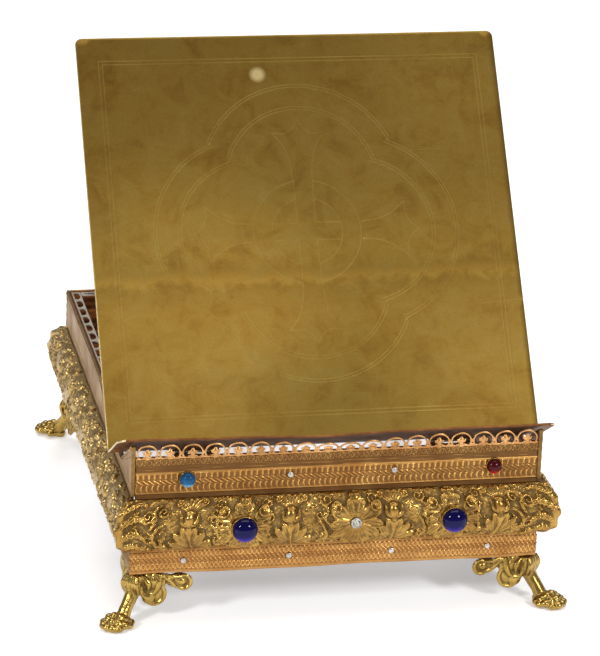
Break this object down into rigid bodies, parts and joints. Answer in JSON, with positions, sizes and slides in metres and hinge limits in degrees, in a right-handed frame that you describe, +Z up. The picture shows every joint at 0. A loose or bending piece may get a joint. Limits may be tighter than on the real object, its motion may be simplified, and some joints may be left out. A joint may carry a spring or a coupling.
{
  "type": "bible stand",
  "caption": "Footed brass book stand: a rectangular embossed frame with a bent reading plate, hinged at the fold and held up by a folding prop.",
  "frame": {"origin": "on the floor, under the centre of the frame and of its four feet", "axes": "+Z up, +X to the reader's right, -Y towards the reader"},
  "size_m": [0.3426, 0.3866, 0.3613],
  "materials": {
    "gilt_brass": "gilt, embossed, dusty in the recesses",
    "copper_gilt": "worn gilding over copper-coloured brass",
    "plate_brass": "satin, olive-gold patina, engraved",
    "dark_brass": "unpolished, tarnished dark brown",
    "steel": "plain, slightly dulled",
    "cobalt_glass": "polished",
    "blue_glass": "polished",
    "red_glass": "polished"
  },
  "bodies": {
    "frame": {"front_wall": "dark_brass", "back_wall": "dark_brass", "left_wall": "dark_brass", "right_wall": "dark_brass", "front_upper_band": "copper_gilt", "back_upper_band": "copper_gilt", "left_upper_band": "copper_gilt", "right_upper_band": "copper_gilt", "front_frieze": "gilt_brass", "back_frieze": "gilt_brass", "left_frieze": "gilt_brass", "right_frieze": "gilt_brass", "front_lower_band": "copper_gilt", "back_lower_band": "copper_gilt", "left_lower_band": "copper_gilt", "right_lower_band": "copper_gilt", "corner_post_front_left": "copper_gilt", "corner_post_front_right": "copper_gilt", "corner_post_back_left": "copper_gilt", "corner_post_back_right": "copper_gilt", "front_gallery": "copper_gilt", "back_gallery": "dark_brass", "left_gallery": "dark_brass", "right_gallery": "dark_brass", "front_left_foot": "gilt_brass", "front_right_foot": "gilt_brass", "back_left_foot": "gilt_brass", "back_right_foot": "gilt_brass", "large_collet_left": "gilt_brass", "large_collet_right": "gilt_brass", "small_collet_left": "gilt_brass", "small_collet_right": "gilt_brass", "cobalt_glass_cabochon_left": "cobalt_glass", "cobalt_glass_cabochon_right": "cobalt_glass", "blue_glass_cabochon_left": "blue_glass", "red_glass_cabochon_right": "red_glass", "centre_boss": "steel", "upper_rivet_left": "steel", "upper_rivet_right": "steel", "lower_rivet_outer_left": "steel", "lower_rivet_inner_left": "steel", "lower_rivet_inner_right": "steel", "lower_rivet_outer_right": "steel", "hinge_rail": "dark_brass", "left_hinge_frame_leaf": "steel", "left_hinge_pin": "steel", "right_hinge_frame_leaf": "steel", "right_hinge_pin": "steel", "rod_bracket_left": "dark_brass", "rod_bracket_right": "dark_brass", "strut_rod": "steel"},
    "plate": {"reading_plate": "plate_brass", "serrated_rest": "dark_brass", "left_hinge_plate_leaf": "steel", "right_hinge_plate_leaf": "steel"},
    "strut": {"prop_strut": "steel"}
  },
  "joints": [
    {"name": "plate_tilt", "type": "hinge", "parent": "frame", "child": "plate", "pos_m": [0, -0.12008, 0.10958], "axis": [1, 0, 0], "range_deg": [-43, 0]},
    {"name": "strut_fold", "type": "hinge", "parent": "frame", "child": "strut", "pos_m": [0, -0.02, 0.09], "axis": [1, 0, 0], "range_deg": [-86, 0]}
  ],
  "couplings": [
    {"joint": "strut_fold", "follows": "plate_tilt", "ratio": 2}
  ]
}
